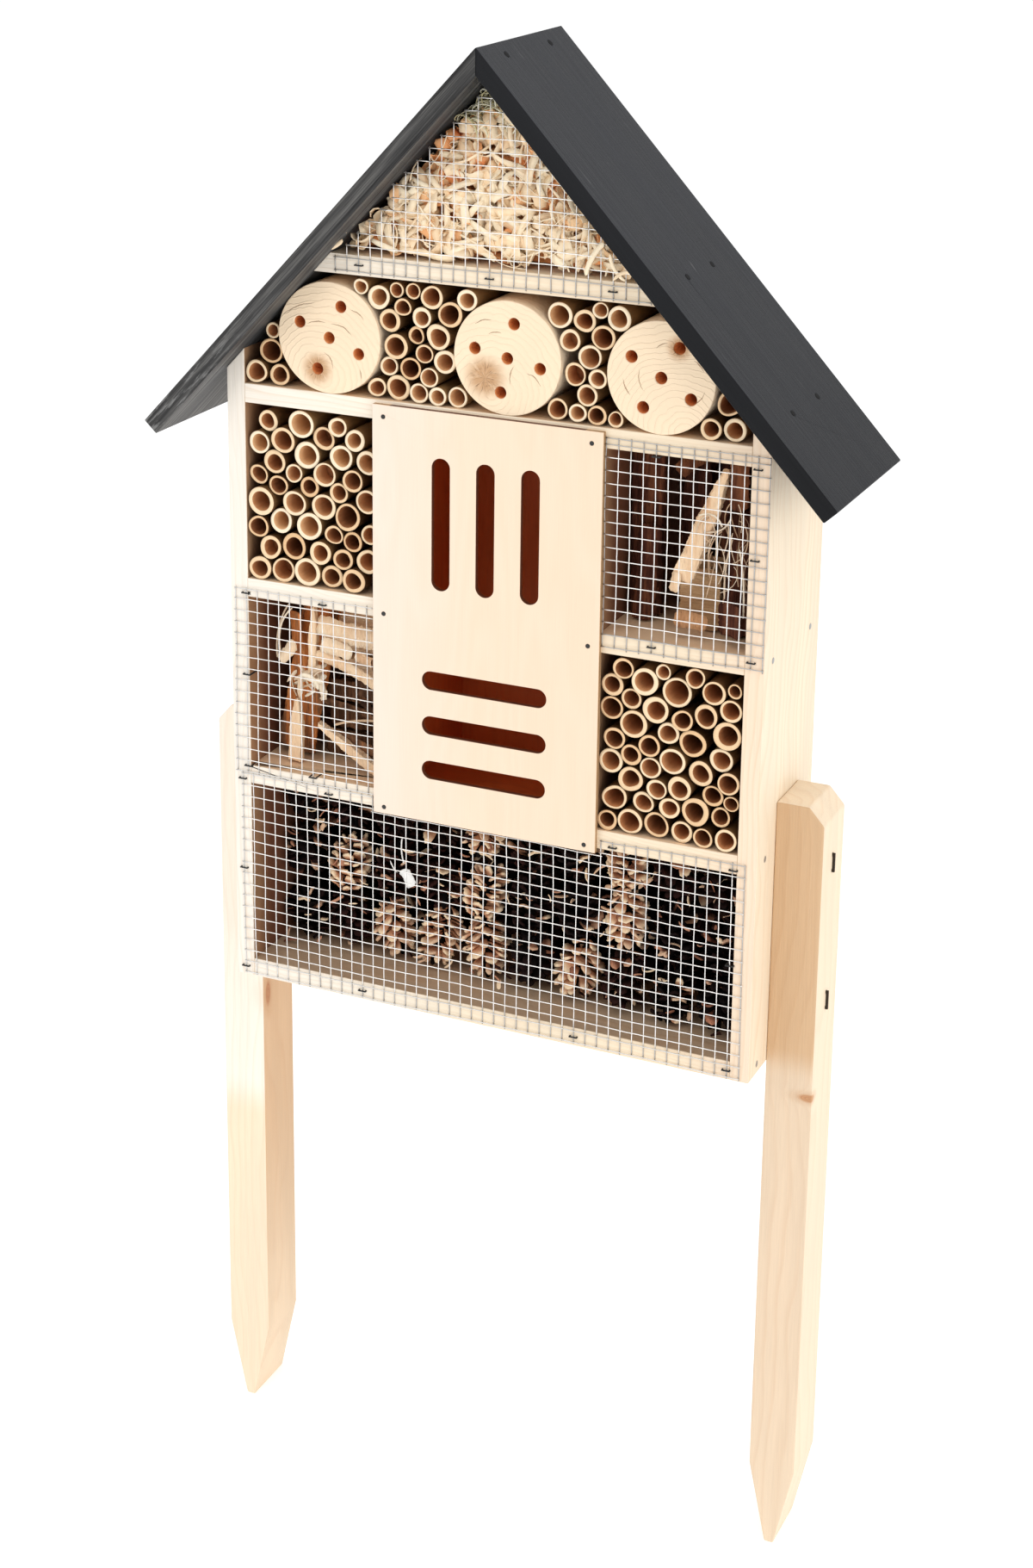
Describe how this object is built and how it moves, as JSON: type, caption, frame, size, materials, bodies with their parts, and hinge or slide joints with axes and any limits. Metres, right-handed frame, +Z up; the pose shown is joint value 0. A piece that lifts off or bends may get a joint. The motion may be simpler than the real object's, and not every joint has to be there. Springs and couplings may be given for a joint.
{
  "type": "insect hotel on ground stakes",
  "caption": "Pitched-roof wooden insect hotel on two pointed stakes, with canes, drilled logs, bark, cones, shavings behind wire mesh and a slotted butterfly front.",
  "frame": {"origin": "on the ground plane at the stake tips, under the middle of the overall width and depth", "axes": "+Z up; +Y from the open front to the back panel; +X to the right seen from the front"},
  "size_m": [0.3662, 0.1, 0.7865],
  "materials": {
    "pine": "planed, unfinished",
    "stake_pine": "sawn, unfinished",
    "plywood": "sanded, unfinished",
    "stained_roof": "dark stain, brushed on",
    "log_wood": "sawn end grain",
    "cane": "cut ends, unfinished",
    "bark": "rough",
    "split_wood": "split, rough",
    "cone": "dry, open scales",
    "shavings": "dry",
    "straw": "dry",
    "galvanised": "galvanised wire",
    "steel": "bright, slightly tarnished"
  },
  "bodies": {
    "root": {"back_nails": "steel", "back_panel": "plywood", "bark_left": "bark", "bark_right": "bark", "base_board": "pine", "butterfly_front": "plywood", "canes_left_cell": "cane", "canes_right_cell": "cane", "canes_row_left_end": "cane", "canes_row_left_gap": "cane", "canes_row_right_end": "cane", "canes_row_right_gap": "cane", "frame_nails": "steel", "front_nails": "steel", "gable_shelf": "pine", "left_divider": "pine", "left_mid_shelf": "pine", "left_wall": "pine", "log_centre": "log_wood", "log_left": "log_wood", "log_right": "log_wood", "lower_shelf": "pine", "mesh_bottom": "galvanised", "mesh_gable": "galvanised", "mesh_left": "galvanised", "mesh_right": "galvanised", "mesh_staples": "steel", "pine_cones": "cone", "right_divider": "pine", "right_mid_shelf": "pine", "right_wall": "pine", "roof_left": "stained_roof", "roof_nails": "steel", "roof_right": "stained_roof", "splint_right": "split_wood", "splints_left": "split_wood", "stake_left": "stake_pine", "stake_right": "stake_pine", "stake_staples": "steel", "straw_wad": "straw", "upper_shelf": "pine", "wood_left": "split_wood", "wood_right": "split_wood", "wood_shavings": "shavings"}
  },
  "joints": []
}
